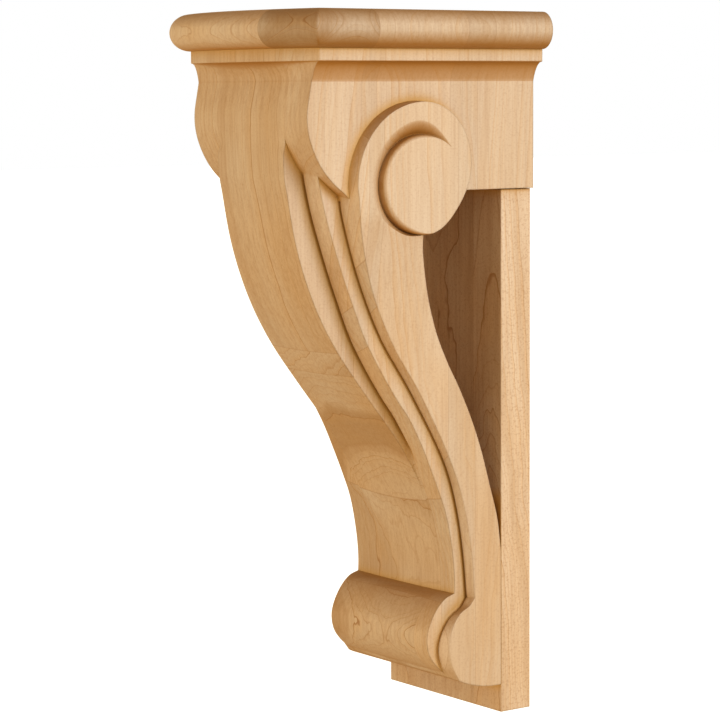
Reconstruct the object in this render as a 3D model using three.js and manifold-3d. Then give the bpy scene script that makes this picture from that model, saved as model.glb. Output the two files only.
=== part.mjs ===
import * as THREE from 'three';
import { mergeVertices } from 'three/addons/utils/BufferGeometryUtils.js';
import Module from 'manifold-3d';

// A carved wooden corbel bracket. Millimetres, +Z up, +X to the right seen from the front,
// front towards -Y. The origin is the middle of the flat back that goes on the wall.

// Overall height, with the top of the cap at TOP and the foot of the back plate at -TOP.
const HEIGHT = 355.6;
const TOP = HEIGHT / 2;
// The carved curves are given for a height of 355.6, and grow or shrink with HEIGHT.
const GROWTH = HEIGHT / 355.6;
// Space left between the body and the back plate, so the two pieces never share a face.
const FIT_GAP = 0.3;

// Cap: a half-round nose, a square fillet under it and a cove down to the block.
const FILLET_HALF_WIDTH = 56.5;
const FILLET_CORNER_Y = -136.3 * GROWTH;
const CAP_BOW = 10.5;
const NOSE_HEIGHT = 18.6;
const NOSE_SIDE_REACH = 8.2;
const NOSE_FRONT_REACH = 10;
const FILLET_HEIGHT = 6.2;
const COVE_HEIGHT = 9.6;
// The cove turns this many degrees at the sides, and a full quarter at the front.
const COVE_SIDE_SWEEP = 58;
const CAP_ARC_STEPS = 28;
const NOSE_STEPS = 18;
const COVE_STEPS = 7;

// Block below the cap, with a swelling front. Every curve is a list of [y, z] points.
const BLOCK_HALF_WIDTH = 49.4;
const BLOCK_UNDERSIDE = 89.8 * GROWTH;
const BLOCK_FRONT = [
  [-135.3, 154], [-135.9, 146], [-137.5, 137], [-138.8, 129.5], [-138.9, 123.5], [-137.8, 117],
  [-134.6, 108.8], [-129.4, 100.6], [-122.8, 94], [-117.2, 89.6], [-114.2, 87],
];

// Back plate between the block and the foot.
const PLATE_HALF_WIDTH = 47.2;
const PLATE_THICKNESS = 19.1;
const PLATE_FRONT = -PLATE_THICKNESS - FIT_GAP;

// Second strip: its outer side stands this far in from the side face low down.
const SIDE_BAND_WIDTH = 5.9;
const SECOND_HALF_WIDTH = PLATE_HALF_WIDTH - SIDE_BAND_WIDTH;
const SECOND_FRONT = [
  [-131, 124], [-128.8, 108], [-126.4, 93.6], [-123, 79.6], [-118.9, 66.7], [-113.1, 50.3],
  [-107.4, 35.9], [-98.6, 15.8], [-82.1, -10.7], [-72.6, -23.6], [-66.2, -35], [-60.8, -46.7],
  [-55.1, -59.9], [-50, -73.2], [-47, -86.3], [-45.1, -99.4], [-44.6, -109], [-44.8, -114.2],
];
// How far the second strip's inner side stands in front of its outer side.
const SECOND_SLOPE = 1.7;

// Middle strip, from inside the block to where it runs into the second strip.
const SECOND_WIDTH = 12.7;
const MIDDLE_HALF_WIDTH = SECOND_HALF_WIDTH - SECOND_WIDTH;
const MIDDLE_FRONT = [
  [-138.6, 126], [-138.95, 122], [-138.9, 117], [-138.6, 108], [-138, 97], [-136.5, 89], [-132.2, 67],
  [-126.6, 48.7], [-118.5, 30], [-107.3, 11.2], [-92.6, -8.2], [-78.3, -26], [-69.4, -37.4],
  [-62.7, -47.8], [-56.1, -59.9], [-51, -73], [-47.7, -86], [-45.7, -99.4], [-45.2, -109], [-45.3, -114.2],
];
// The groove between the two strips runs out at this height, over the given fade.
const FIRST_GROOVE_SPAN = 3;
const FIRST_GROOVE_DEPTH = 5;
const FIRST_GROOVE_END = -47.8 * GROWTH;
const FIRST_GROOVE_FADE = 24 * GROWTH;
// Where the bottom of a groove lies, as a share of the way across it.
const VALLEY_SHARE = 0.82;
// Slight rounding of the front from side to side, growing downwards from CROWN_TOP.
const CROWN = 1.2;
const CROWN_TOP = 70 * GROWTH;

// Bottom roll, between the crease and the underside.
const ROLL = [
  [-44.8, -114.2], [-50.4, -116.1], [-55.5, -120.6], [-59.8, -127.2], [-62, -133.2], [-62.3, -138],
  [-60.6, -144.4], [-56.1, -150.3], [-49.8, -155.4], [-43, -158.4], [-36, -159.4],
];

// Side band: its front line beside the second groove, and its edge on the side face.
const SECOND_GROOVE_SPAN = 1.9;
const SECOND_GROOVE_DEPTH = 3;
const BAND_INNER_X = SECOND_HALF_WIDTH + SECOND_GROOVE_SPAN;
const BAND_INNER_FRONT = [
  [-116, 88], [-114.8, 80], [-112.8, 72.1], [-105, 47.7], [-91.9, 18.6], [-73, -10.3],
  [-51.9, -47.9], [-44.6, -71], [-40.5, -95.5], [-38.5, -116.5],
];
const BAND_OUTER_FRONT = [
  [-113.25, 88], [-112.4, 80], [-111.1, 72.6], [-101.7, 43], [-86.3, 13.2], [-70.7, -9.9],
  [-50.4, -47.9], [-42.3, -70.9], [-37.8, -95.5], [-36.2, -116.5],
];
// The small scroll that ends the side band beside the roll, at the same two places.
const BAND_INNER_SCROLL = [
  [-38.5, -116.5], [-42.1, -120.9], [-49.2, -125.7], [-55, -134.2], [-56.6, -142], [-54.6, -149.6],
  [-50, -156.4],
];
const BAND_OUTER_SCROLL = [
  [-36.2, -116.5], [-39.2, -120], [-45.7, -123.7], [-50.8, -131.3], [-52.4, -140.6], [-50.9, -149.4],
  [-46.2, -158.1],
];
const UNDERSIDE = -163.4 * GROWTH;
const UNDERSIDE_RADIUS = 58 * GROWTH;
const UNDERSIDE_TANGENT_Y = -22 * GROWTH;

// Side faces: level with the plate low down, sloping out to the face of the scroll.
// Each point is [share of the way out, z].
const SCROLL_HALF_WIDTH = 55.6;
const SIDE_SLOPE = [
  [0, -170], [0, -20], [0.02, 5], [0.1, 24], [0.26, 39], [0.6, 61], [0.93, 78], [1, 85],
  [1, 88],
];

// Back of the curved body, from the plate up to the scroll, as [distance from the plate, z].
const BODY_BACK = [
  [0, -94.5], [2.5, -76.7], [7.2, -60.1], [13.4, -39.7], [19.6, -24], [27.2, -8.3],
  [34.2, 4], [40.6, 17.1], [44.2, 26.5], [47.8, 37.4], [52, 54.2], [53.6, 63], [54, 76],
];
// How far the strips' hidden back stays inside the side band's.
const CORE_INSET = 2;

// Raised scroll on both sides: a spiral edge round the eye, and the groove round the eye.
const EYE_Y = -73.6 * GROWTH;
const EYE_Z = 93.3 * GROWTH;
const EYE_RADIUS = 23.2 * GROWTH;
const SPIRAL_RADIUS = 40.3 * GROWTH;
const SPIRAL_TURN = 130;
// The outline of the scroll runs on round the eye as far as this angle, past its foremost point.
const SCROLL_CLOSE = 202.5;
const ANGLE_STEP = 7.5;
// The rim leans forwards from here on, and under the eye the outline swells out to the groove.
const LEAN_START = 60;
const LEAN_TURN = 90;
const SWELL_START = -40;
const SWELL_TURN = 45;
const GROOVE_RADIUS = 24.4 * GROWTH;
const GROOVE_WIDTH = 7.6;
const GROOVE_DEPTH = 5.4;
const EYE_ROUNDING = 2.4;
// The groove opens from its tip over the taper, narrows again from GROOVE_NARROWS onwards, and
// fades out under the eye.
const GROOVE_TIP = 50;
const GROOVE_TAPER = 55;
const GROOVE_NARROWS = 200;
const GROOVE_CLOSING = 60;
const GROOVE_NARROWING = 0.5;
const GROOVE_END = 284;
const GROOVE_FADE = 45;
// Each end is cut off this many degrees before the groove would shrink to nothing.
const GROOVE_BLUNTED = 6;

const S_STEPS = 50;
const ROLL_STEPS = 18;
const BACK_STEPS = 22;

const rad = (degrees) => degrees * Math.PI / 180;
const smooth = (t) => {
  const u = Math.min(1, Math.max(0, t));
  return u * u * (3 - 2 * u);
};

// A smooth curve through [y, z] pairs at the real height, as evenly spaced [y, z] points.
function curve(points, steps) {
  const line = new THREE.CatmullRomCurve3(points.map(([y, z]) => new THREE.Vector3(0, y, z)));
  return line.getSpacedPoints(steps).map((p) => [p.y * GROWTH, p.z * GROWTH]);
}

// First coordinate of a curve at a given height, for curves that fall steadily.
function heightLookup(points) {
  const line = curve(points, 240);
  return (z) => {
    for (let i = 1; i < line.length; i += 1) {
      const [y0, z0] = line[i - 1];
      const [y1, z1] = line[i];
      if ((z - z0) * (z - z1) <= 0 && z0 !== z1) {
        return y0 + (y1 - y0) * (z - z0) / (z1 - z0);
      }
    }
    return Math.abs(z - line[0][1]) < Math.abs(z - line[240][1]) ? line[0][0] : line[240][0];
  };
}

function closedMesh(positions, index) {
  const geometry = new THREE.BufferGeometry();
  geometry.setAttribute('position', new THREE.Float32BufferAttribute(positions, 3));
  geometry.setIndex(index);
  return geometry;
}

// Skin over loops of equal length, closed at both ends with flat faces.
function loft(loops, flatten) {
  const positions = [];
  const index = [];
  const count = loops[0].length;
  for (const loop of loops) {
    for (const point of loop) {
      positions.push(...point);
    }
  }
  for (let k = 0; k + 1 < loops.length; k += 1) {
    for (let i = 0; i < count; i += 1) {
      const j = (i + 1) % count;
      const a = k * count + i;
      const b = k * count + j;
      index.push(a, b, b + count, a, b + count, a + count);
    }
  }
  for (const k of [0, loops.length - 1]) {
    const flat = loops[k].map((point) => new THREE.Vector2(...flatten(point)));
    const direction = Math.sign(THREE.ShapeUtils.area(flat));
    for (const triangle of THREE.ShapeUtils.triangulateShape(flat, [])) {
      const same = Math.sign(THREE.ShapeUtils.area(triangle.map((i) => flat[i]))) === direction;
      const [a, b, c] = triangle.map((i) => i + k * count);
      index.push(...(same === (k > 0) ? [a, b, c] : [a, c, b]));
    }
  }
  return outward(closedMesh(positions, index));
}

// Turn the faces round when the volume comes out negative.
function outward(geometry) {
  const p = geometry.getAttribute('position');
  const index = Array.from(geometry.getIndex().array);
  const corners = [new THREE.Vector3(), new THREE.Vector3(), new THREE.Vector3()];
  let volume = 0;
  for (let i = 0; i < index.length; i += 3) {
    corners.forEach((corner, k) => corner.fromBufferAttribute(p, index[i + k]));
    volume += corners[0].dot(corners[1].clone().cross(corners[2]));
  }
  if (volume < 0) {
    for (let i = 0; i < index.length; i += 3) {
      [index[i + 1], index[i + 2]] = [index[i + 2], index[i + 1]];
    }
    geometry.setIndex(index);
  }
  return geometry;
}

const alongX = (point) => [point[1], point[2]];
const alongY = (point) => [point[0], point[2]];
const alongZ = (point) => [point[0], point[1]];

// A solid with the [y, z] outline, between two values of x.
function slab(outline, x0, x1) {
  return loft([x0, x1].map((x) => outline.map(([y, z]) => [x, y, z])), alongX);
}

const wasm = await Module();
wasm.setup();

function toManifold(geometry) {
  const bare = geometry.clone();
  bare.deleteAttribute('normal');
  bare.deleteAttribute('uv');
  const merged = mergeVertices(bare, 1e-5);
  return new wasm.Manifold(new wasm.Mesh({
    numProp: 3,
    vertProperties: new Float32Array(merged.getAttribute('position').array),
    triVerts: new Uint32Array(merged.getIndex().array),
  }));
}

function toGeometry(solid) {
  const mesh = solid.getMesh();
  const stride = mesh.numProp;
  const positions = [];
  for (let i = 0; i < mesh.vertProperties.length; i += stride) {
    positions.push(mesh.vertProperties[i], mesh.vertProperties[i + 1], mesh.vertProperties[i + 2]);
  }
  const geometry = closedMesh(positions, Array.from(mesh.triVerts));
  geometry.computeVertexNormals();
  return geometry;
}

// Plan of the cap, grown outwards at the sides and the front, with a bowed front edge.
function capPlan(sideMargin, frontMargin) {
  const bowRadius = (FILLET_HALF_WIDTH ** 2 + CAP_BOW ** 2) / (2 * CAP_BOW);
  const centreY = FILLET_CORNER_Y - CAP_BOW + bowRadius;
  const half = FILLET_HALF_WIDTH + sideMargin;
  const plan = [[half, 0]];
  for (let i = 0; i <= CAP_ARC_STEPS; i += 1) {
    const x = half * (1 - 2 * i / CAP_ARC_STEPS);
    plan.push([x, centreY - Math.sqrt((bowRadius + frontMargin) ** 2 - x * x)]);
  }
  plan.push([-half, 0]);
  return plan;
}

// Plan of the block with the same number of points as the plan of the cap.
function blockPlan(frontY) {
  const plan = [[BLOCK_HALF_WIDTH, 0]];
  for (let i = 0; i <= CAP_ARC_STEPS; i += 1) {
    plan.push([BLOCK_HALF_WIDTH * (1 - 2 * i / CAP_ARC_STEPS), frontY]);
  }
  plan.push([-BLOCK_HALF_WIDTH, 0]);
  return plan;
}

function cap() {
  const rings = [];
  const noseRadius = NOSE_HEIGHT / 2;
  for (let i = 0; i <= NOSE_STEPS; i += 1) {
    const angle = Math.PI / 2 - Math.PI * i / NOSE_STEPS;
    const z = TOP - noseRadius + noseRadius * Math.sin(angle);
    const reach = Math.cos(angle);
    const plan = capPlan(NOSE_SIDE_REACH * reach, NOSE_FRONT_REACH * reach);
    rings.push(plan.map(([x, y]) => [x, y, z]));
  }
  const filletBottom = TOP - NOSE_HEIGHT - FILLET_HEIGHT;
  const outer = capPlan(0, 0);
  const inner = blockPlan(heightLookup(BLOCK_FRONT)(filletBottom - COVE_HEIGHT) + 0.05);
  for (let i = 0; i <= COVE_STEPS; i += 1) {
    rings.push(outer.map(([x, y], k) => {
      const fromSide = smooth((FILLET_HALF_WIDTH - Math.abs(x)) / COVE_HEIGHT);
      const sweep = rad(COVE_SIDE_SWEEP + (90 - COVE_SIDE_SWEEP) * fromSide);
      const inward = Math.sin(sweep * i / COVE_STEPS) / Math.sin(sweep);
      const down = (1 - Math.cos(sweep * i / COVE_STEPS)) / (1 - Math.cos(sweep));
      return [
        x + (inner[k][0] - x) * inward,
        y + (inner[k][1] - y) * inward,
        filletBottom - COVE_HEIGHT * down,
      ];
    }));
  }
  return loft(rings, alongZ);
}

function block() {
  const front = curve(BLOCK_FRONT, 22);
  const inside = front[front.length - 1][0] + SPIRAL_RADIUS / 4;
  const outline = [...front, [inside, BLOCK_UNDERSIDE], [0, BLOCK_UNDERSIDE], [0, front[0][1]]];
  return slab(outline, -BLOCK_HALF_WIDTH, BLOCK_HALF_WIDTH);
}

// Closed side outline: front line, foot, and the back of the curved body up into the scroll.
function sideOutline(front, foot, inset) {
  const back = curve(BODY_BACK, BACK_STEPS).map(([gap, z]) => [PLATE_FRONT - gap - inset, z]);
  return [...front, ...foot, ...back, [EYE_Y - inset, front[0][1] - inset]];
}

// Underside arc from a starting y to where it runs level.
function underside(fromY, steps) {
  const start = Math.asin((UNDERSIDE_TANGENT_Y - fromY) / UNDERSIDE_RADIUS);
  const points = [];
  for (let i = 1; i <= steps; i += 1) {
    const angle = start * (1 - i / steps);
    points.push([
      UNDERSIDE_TANGENT_Y - UNDERSIDE_RADIUS * Math.sin(angle),
      UNDERSIDE + UNDERSIDE_RADIUS * (1 - Math.cos(angle)),
    ]);
  }
  return points;
}

// Middle strip, second strip and the roll they end in, all of them narrower than the side band.
function core() {
  const middle = heightLookup(MIDDLE_FRONT);
  const second = heightLookup(SECOND_FRONT);
  const top = MIDDLE_FRONT[0][1] * GROWTH;
  const crease = ROLL[0][1] * GROWTH;
  const roll = curve(ROLL, ROLL_STEPS).slice(1);
  const foot = [[PLATE_FRONT - CORE_INSET, roll[roll.length - 1][1]]];

  const fade = (z) => smooth((z - FIRST_GROOVE_END) / FIRST_GROOVE_FADE);
  const crown = (z, x) => CROWN * smooth(1 - z / CROWN_TOP) * (1 - (x / SECOND_HALF_WIDTH) ** 2);
  const innerX = MIDDLE_HALF_WIDTH + FIRST_GROOVE_SPAN;
  const merged = (z, x) => second(z) - crown(z, x)
    - SECOND_SLOPE * fade(z) * (SECOND_HALF_WIDTH - x) / (SECOND_HALF_WIDTH - innerX);
  const grooveX = MIDDLE_HALF_WIDTH + FIRST_GROOVE_SPAN * VALLEY_SHARE;
  const middleFront = (z, x) => Math.min(middle(z) - crown(z, x) + crown(z, MIDDLE_HALF_WIDTH),
    second(z) - crown(z, x));
  const rails = [
    [0, (z) => middleFront(z, 0)],
    [MIDDLE_HALF_WIDTH * 0.6, (z) => middleFront(z, MIDDLE_HALF_WIDTH * 0.6)],
    [MIDDLE_HALF_WIDTH, (z) => middleFront(z, MIDDLE_HALF_WIDTH)],
    [grooveX, (z) => merged(z, grooveX) + FIRST_GROOVE_DEPTH * fade(z)],
    [innerX, (z) => merged(z, innerX)],
    [SECOND_HALF_WIDTH, second],
  ];
  const loops = rails.map(([x, frontAt]) => {
    const front = [];
    for (let i = 0; i <= S_STEPS; i += 1) {
      const z = top + (crease - top) * i / S_STEPS;
      front.push([frontAt(z), z]);
    }
    const rollCrown = crown(crease, x);
    const rolled = roll.map(([y, z], i) => [y - rollCrown * (1 - (i + 1) / ROLL_STEPS), z]);
    const outline = sideOutline([...front, ...rolled], foot, CORE_INSET);
    return outline.map(([y, z]) => [x, y, z]);
  });
  const mirrored = loops.slice(1).reverse().map((loop) => loop.map(([x, y, z]) => [-x, y, z]));
  return loft([...mirrored, ...loops], alongX);
}

// Side band across the whole width, lying behind the strips in the middle.
function band() {
  const innerFront = heightLookup(BAND_INNER_FRONT);
  const outerFront = heightLookup(BAND_OUTER_FRONT);
  const top = BAND_INNER_FRONT[0][1] * GROWTH;
  const crease = BAND_INNER_SCROLL[0][1] * GROWTH;
  const sideAt = heightLookup(SIDE_SLOPE);
  const sideX = (z) => sideFace(sideAt(z) / GROWTH);
  const inner = curve(BAND_INNER_SCROLL, ROLL_STEPS).slice(1);
  const outer = curve(BAND_OUTER_SCROLL, ROLL_STEPS).slice(1);
  const wide = SCROLL_HALF_WIDTH + 1;

  // Straight line across the band, carried on to the full width.
  const across = (x, z, y0, y1) => y0 + (y1 - y0) * (x - BAND_INNER_X) / (sideX(z) - BAND_INNER_X);
  const loopAt = (x, deeper) => {
    const front = [];
    for (let i = 0; i <= S_STEPS; i += 1) {
      const z = top + (crease - top) * i / S_STEPS;
      const share = Math.max(x, BAND_INNER_X);
      front.push([across(share, z, innerFront(z), outerFront(z)) + deeper, z]);
    }
    inner.forEach(([y, z], i) => {
      const share = x > BAND_INNER_X ? (x - BAND_INNER_X) / (PLATE_HALF_WIDTH - BAND_INNER_X) : 0;
      front.push([y + (outer[i][0] - y) * share + deeper * (1 - i / ROLL_STEPS), z
        + (outer[i][1] - z) * Math.min(1, share)]);
    });
    const foot = [...underside(front[front.length - 1][0], 6), [PLATE_FRONT, UNDERSIDE]];
    return sideOutline(front, foot, 0).map(([y, z]) => [x, y, z]);
  };
  const loops = [
    loopAt(0, 0),
    loopAt(SECOND_HALF_WIDTH, -SECOND_GROOVE_DEPTH),
    loopAt(SECOND_HALF_WIDTH + SECOND_GROOVE_SPAN * VALLEY_SHARE, SECOND_GROOVE_DEPTH),
    loopAt(BAND_INNER_X, 0),
    loopAt(PLATE_HALF_WIDTH, 0),
    loopAt(wide, 0),
  ];
  const mirrored = loops.slice(1).reverse().map((loop) => loop.map(([x, y, z]) => [-x, y, z]));
  return loft([...mirrored, ...loops], alongX);
}

// Half width of the side face for a share of the way from the plate out to the scroll.
function sideFace(share) {
  return PLATE_HALF_WIDTH + (SCROLL_HALF_WIDTH - PLATE_HALF_WIDTH) * share;
}

// What is cut off the sides of the band: everything outside the sloping side face.
function sideCutter(sign) {
  const far = SCROLL_HALF_WIDTH * 1.5;
  const slope = curve(SIDE_SLOPE, 24).map(([share, z]) => [sideFace(share / GROWTH), z]);
  const outline = [...slope, [SCROLL_HALF_WIDTH, TOP], [far, TOP], [far, slope[0][1]]];
  return loft([-HEIGHT, HEIGHT].map((y) => outline.map(([x, z]) => [sign * x, y, z])), alongY);
}

// Raised scroll seen from the side: round the top, in along the spiral, and round the eye.
function scroll() {
  const low = BAND_INNER_FRONT[0][1] * GROWTH - CORE_INSET;
  // The rim leans forwards on its way in to the block, as much as the front of the band does.
  const rimLean = (BAND_OUTER_FRONT[0][0] - BAND_INNER_FRONT[0][0]) * GROWTH;
  const loopAt = (x, lean, front) => {
    const outline = [];
    for (let angle = 180; angle >= SCROLL_CLOSE - 360; angle -= ANGLE_STEP) {
      const turned = smooth((90 - angle) / SPIRAL_TURN);
      const leaning = lean * smooth((angle - LEAN_START) / LEAN_TURN);
      const filledOut = (GROOVE_RADIUS - EYE_RADIUS) * smooth((SWELL_START - angle) / SWELL_TURN);
      const radius = SPIRAL_RADIUS + leaning + (EYE_RADIUS - SPIRAL_RADIUS) * turned + filledOut;
      outline.push([EYE_Y + radius * Math.cos(rad(angle)), EYE_Z + radius * Math.sin(rad(angle))]);
    }
    outline.push([heightLookup(front)(low), low]);
    return outline.map(([y, z]) => [x, y, z]);
  };
  return loft([
    loopAt(-SCROLL_HALF_WIDTH, 0, BAND_OUTER_FRONT),
    loopAt(-BAND_INNER_X, rimLean, BAND_INNER_FRONT),
    loopAt(BAND_INNER_X, rimLean, BAND_INNER_FRONT),
    loopAt(SCROLL_HALF_WIDTH, 0, BAND_OUTER_FRONT),
  ], alongX);
}

// Tapering groove round the eye: steep next to the eye, sloping on the far side.
function grooveCutter(sign) {
  const loops = [];
  for (let angle = GROOVE_TIP; angle <= GROOVE_END; angle += ANGLE_STEP) {
    const size = smooth((angle - GROOVE_TIP + GROOVE_BLUNTED) / GROOVE_TAPER)
      * smooth((GROOVE_END + GROOVE_BLUNTED - angle) / GROOVE_FADE);
    const narrow = smooth((angle - GROOVE_NARROWS) / GROOVE_CLOSING);
    const depth = GROOVE_DEPTH * size;
    const rounding = EYE_ROUNDING * size;
    const spread = GROOVE_WIDTH * size * (1 - GROOVE_NARROWING * narrow);
    const outside = SCROLL_HALF_WIDTH + 3;
    const section = [
      [GROOVE_RADIUS, SCROLL_HALF_WIDTH - depth],
      [GROOVE_RADIUS + spread / 2, SCROLL_HALF_WIDTH - depth * 0.35],
      [GROOVE_RADIUS + spread, SCROLL_HALF_WIDTH],
      [GROOVE_RADIUS + spread + 0.5, outside],
      [GROOVE_RADIUS - rounding - 0.5, outside],
      [GROOVE_RADIUS - rounding, SCROLL_HALF_WIDTH],
      [GROOVE_RADIUS - rounding * 0.3, SCROLL_HALF_WIDTH - rounding * 0.3],
      [GROOVE_RADIUS, SCROLL_HALF_WIDTH - rounding],
    ];
    loops.push(section.map(([radius, x]) => [
      sign * x,
      EYE_Y + radius * Math.cos(rad(angle)),
      EYE_Z + radius * Math.sin(rad(angle)),
    ]));
  }
  return loft(loops, ([x, y, z]) => [x, Math.hypot(y - EYE_Y, z - EYE_Z)]);
}

function body() {
  let solid = toManifold(band());
  for (const sign of [-1, 1]) {
    solid = solid.subtract(toManifold(sideCutter(sign)));
  }
  for (const piece of [core(), block(), scroll(), cap()]) {
    solid = solid.add(toManifold(piece));
  }
  for (const sign of [-1, 1]) {
    solid = solid.subtract(toManifold(grooveCutter(sign)));
  }
  return toGeometry(solid);
}

function plate() {
  const top = BLOCK_UNDERSIDE - FIT_GAP;
  const outline = [[0, -TOP], [0, top], [-PLATE_THICKNESS, top], [-PLATE_THICKNESS, -TOP]];
  return toGeometry(toManifold(slab(outline, -PLATE_HALF_WIDTH, PLATE_HALF_WIDTH)));
}

function piece(name, geometry, color) {
  const material = new THREE.MeshStandardMaterial({ color, roughness: 0.6 });
  const mesh = new THREE.Mesh(geometry, material);
  mesh.name = name;
  return mesh;
}

const group = new THREE.Group();
group.name = 'corbel_bracket';
group.add(piece('corbel_body', body(), 0xd8b484));
group.add(piece('back_plate', plate(), 0xdcbb8e));

export default group;
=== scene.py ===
import math
from collections import namedtuple

import bmesh
import bpy
import numpy as np
from mathutils import Matrix, Vector


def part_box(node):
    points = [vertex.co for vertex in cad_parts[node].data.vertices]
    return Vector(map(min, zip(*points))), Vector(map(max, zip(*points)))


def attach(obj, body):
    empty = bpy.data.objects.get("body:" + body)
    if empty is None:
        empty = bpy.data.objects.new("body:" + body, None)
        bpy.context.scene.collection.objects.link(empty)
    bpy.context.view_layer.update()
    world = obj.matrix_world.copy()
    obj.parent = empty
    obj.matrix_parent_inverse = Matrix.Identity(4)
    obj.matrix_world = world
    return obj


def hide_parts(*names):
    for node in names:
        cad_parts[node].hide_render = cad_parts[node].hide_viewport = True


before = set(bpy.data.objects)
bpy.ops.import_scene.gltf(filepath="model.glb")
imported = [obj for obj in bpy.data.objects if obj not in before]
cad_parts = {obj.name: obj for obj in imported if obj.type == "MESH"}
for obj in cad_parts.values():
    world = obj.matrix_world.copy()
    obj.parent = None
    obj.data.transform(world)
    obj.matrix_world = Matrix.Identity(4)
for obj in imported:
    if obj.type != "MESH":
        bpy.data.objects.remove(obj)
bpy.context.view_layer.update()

# A carved maple corbel bracket. The shapes are worked out in millimetres, +Z up, front towards -Y,
# and become metres when a mesh is made. Overall sizes come from the frame.
MM = 0.001
BODY_LOW, BODY_HIGH = [[value / MM for value in corner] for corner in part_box("corbel_body")]
PLATE_LOW, PLATE_HIGH = [[value / MM for value in corner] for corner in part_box("back_plate")]

# The carved curves are given for a cap whose top is at DRAWN_TOP, and grow or shrink with TOP.
DRAWN_TOP = 177.8
TOP = BODY_HIGH[2]
GROWTH = TOP / DRAWN_TOP

# Cap: half-round nose, square fillet and cove, with a bowed front.
FILLET_HALF_WIDTH = 56.5
CAP_BOW = 10.5
NOSE_HEIGHT = 18.6
NOSE_FRONT_REACH = 10
NOSE_SIDE_REACH = BODY_HIGH[0] - FILLET_HALF_WIDTH
FILLET_CORNER_Y = BODY_LOW[1] + NOSE_FRONT_REACH + CAP_BOW
FILLET_HEIGHT = 6.2
COVE_HEIGHT = 9.6
# The cove turns this many degrees at the sides, and a full quarter at the front.
COVE_SIDE_SWEEP = 58
CAP_CORNER = 0.9
# Points of the cap's plan this near its side go down to the side of the block.
CORNER_ZONE = 1
# The cove ends this far inside the front of the block.
COVE_TUCK = 0.05
# Sharp edges are eased by EDGE in the shape, in three steps, and by SHEEN_EDGE in the shading.
EDGE = 0.5
EASING_ANGLES = (0, 30, 60, 90)
SHEEN_EDGE = 1.2

# Block under the cap. Every curve is a list of [y, z] points.
BLOCK_HALF_WIDTH = 49.4
BLOCK_UNDERSIDE = 89.8 * GROWTH
BLOCK_FRONT = [
    [-135.3, 154], [-135.9, 146], [-137.5, 137], [-138.8, 129.5], [-138.9, 123.5], [-137.8, 117],
    [-134.6, 108.8], [-129.4, 100.6], [-122.8, 94], [-117.2, 89.6], [-114.2, 87],
]

# Back plate.
PLATE_HALF_WIDTH = PLATE_HIGH[0]
PLATE_THICKNESS = -PLATE_LOW[1]
# The glued joint between the body and the plate, drawn as a hairline.
FIT_GAP = 0.05
PLATE_FRONT = -PLATE_THICKNESS - FIT_GAP

# Second strip and the middle strip, which runs out of the block and into the second strip.
SIDE_BAND_WIDTH = 5.9
SECOND_WIDTH = 12.7
SECOND_HALF_WIDTH = PLATE_HALF_WIDTH - SIDE_BAND_WIDTH
MIDDLE_HALF_WIDTH = SECOND_HALF_WIDTH - SECOND_WIDTH
SECOND_FRONT = [
    [-131, 124], [-128.8, 108], [-126.4, 93.6], [-123, 79.6], [-118.9, 66.7], [-113.1, 50.3],
    [-107.4, 35.9], [-98.6, 15.8], [-82.1, -10.7], [-72.6, -23.6], [-66.2, -35], [-60.8, -46.7],
    [-55.1, -59.9], [-50, -73.2], [-47, -86.3], [-45.1, -99.4], [-44.6, -109], [-44.8, -114.2],
]
# How far the second strip's inner side stands in front of its outer side.
SECOND_SLOPE = 1.7
MIDDLE_FRONT = [
    [-138.6, 126], [-138.95, 122], [-138.9, 117], [-138.6, 108], [-138, 97], [-136.5, 89], [-132.2, 67],
    [-126.6, 48.7], [-118.5, 30], [-107.3, 11.2], [-92.6, -8.2], [-78.3, -26], [-69.4, -37.4],
    [-62.7, -47.8], [-56.1, -59.9], [-51, -73], [-47.7, -86], [-45.7, -99.4], [-45.2, -109],
    [-45.3, -114.2],
]
# Above EMERGE_LOW the strip's edges leave the block softly, over this width and height.
EMERGE_WIDTH = 8
EMERGE_LOW = 108 * GROWTH
EMERGE_HEIGHT = 9 * GROWTH
# The groove between the two strips runs out at FIRST_GROOVE_END, over the given fade.
FIRST_GROOVE_SPAN = 3
FIRST_GROOVE_DEPTH = 5
FIRST_GROOVE_END = -47.8 * GROWTH
FIRST_GROOVE_FADE = 24 * GROWTH
# Where the bottom of a groove lies, as a share of the way across it.
VALLEY_SHARE = 0.82
# Slight rounding of the front from side to side, growing downwards from CROWN_TOP.
CROWN = 1.2
CROWN_TOP = 70 * GROWTH

# Roll at the bottom of the front.
ROLL = [
    [-44.8, -114.2], [-50.4, -116.1], [-55.5, -120.6], [-59.8, -127.2], [-62, -133.2], [-62.3, -138],
    [-60.6, -144.4], [-56.1, -150.3], [-49.8, -155.4], [-43, -158.4], [-36, -159.4],
]

# Side band and the small scroll that ends it, at its inner line and at the side face.
SECOND_GROOVE_SPAN = 1.9
SECOND_GROOVE_DEPTH = 3
BAND_INNER_X = SECOND_HALF_WIDTH + SECOND_GROOVE_SPAN
BAND_INNER_FRONT = [
    [-116, 88], [-114.8, 80], [-112.8, 72.1], [-105, 47.7], [-91.9, 18.6], [-73, -10.3], [-51.9, -47.9],
    [-44.6, -71], [-40.5, -95.5], [-38.5, -116.5],
]
BAND_OUTER_FRONT = [
    [-113.25, 88], [-112.4, 80], [-111.1, 72.6], [-101.7, 43], [-86.3, 13.2], [-70.7, -9.9], [-50.4, -47.9],
    [-42.3, -70.9], [-37.8, -95.5], [-36.2, -116.5],
]
BAND_INNER_SCROLL = [
    [-38.5, -116.5], [-42.1, -120.9], [-49.2, -125.7], [-55, -134.2], [-56.6, -142], [-54.6, -149.6],
    [-50, -156.4],
]
BAND_OUTER_SCROLL = [
    [-36.2, -116.5], [-39.2, -120], [-45.7, -123.7], [-50.8, -131.3], [-52.4, -140.6], [-50.9, -149.4],
    [-46.2, -158.1],
]
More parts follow.
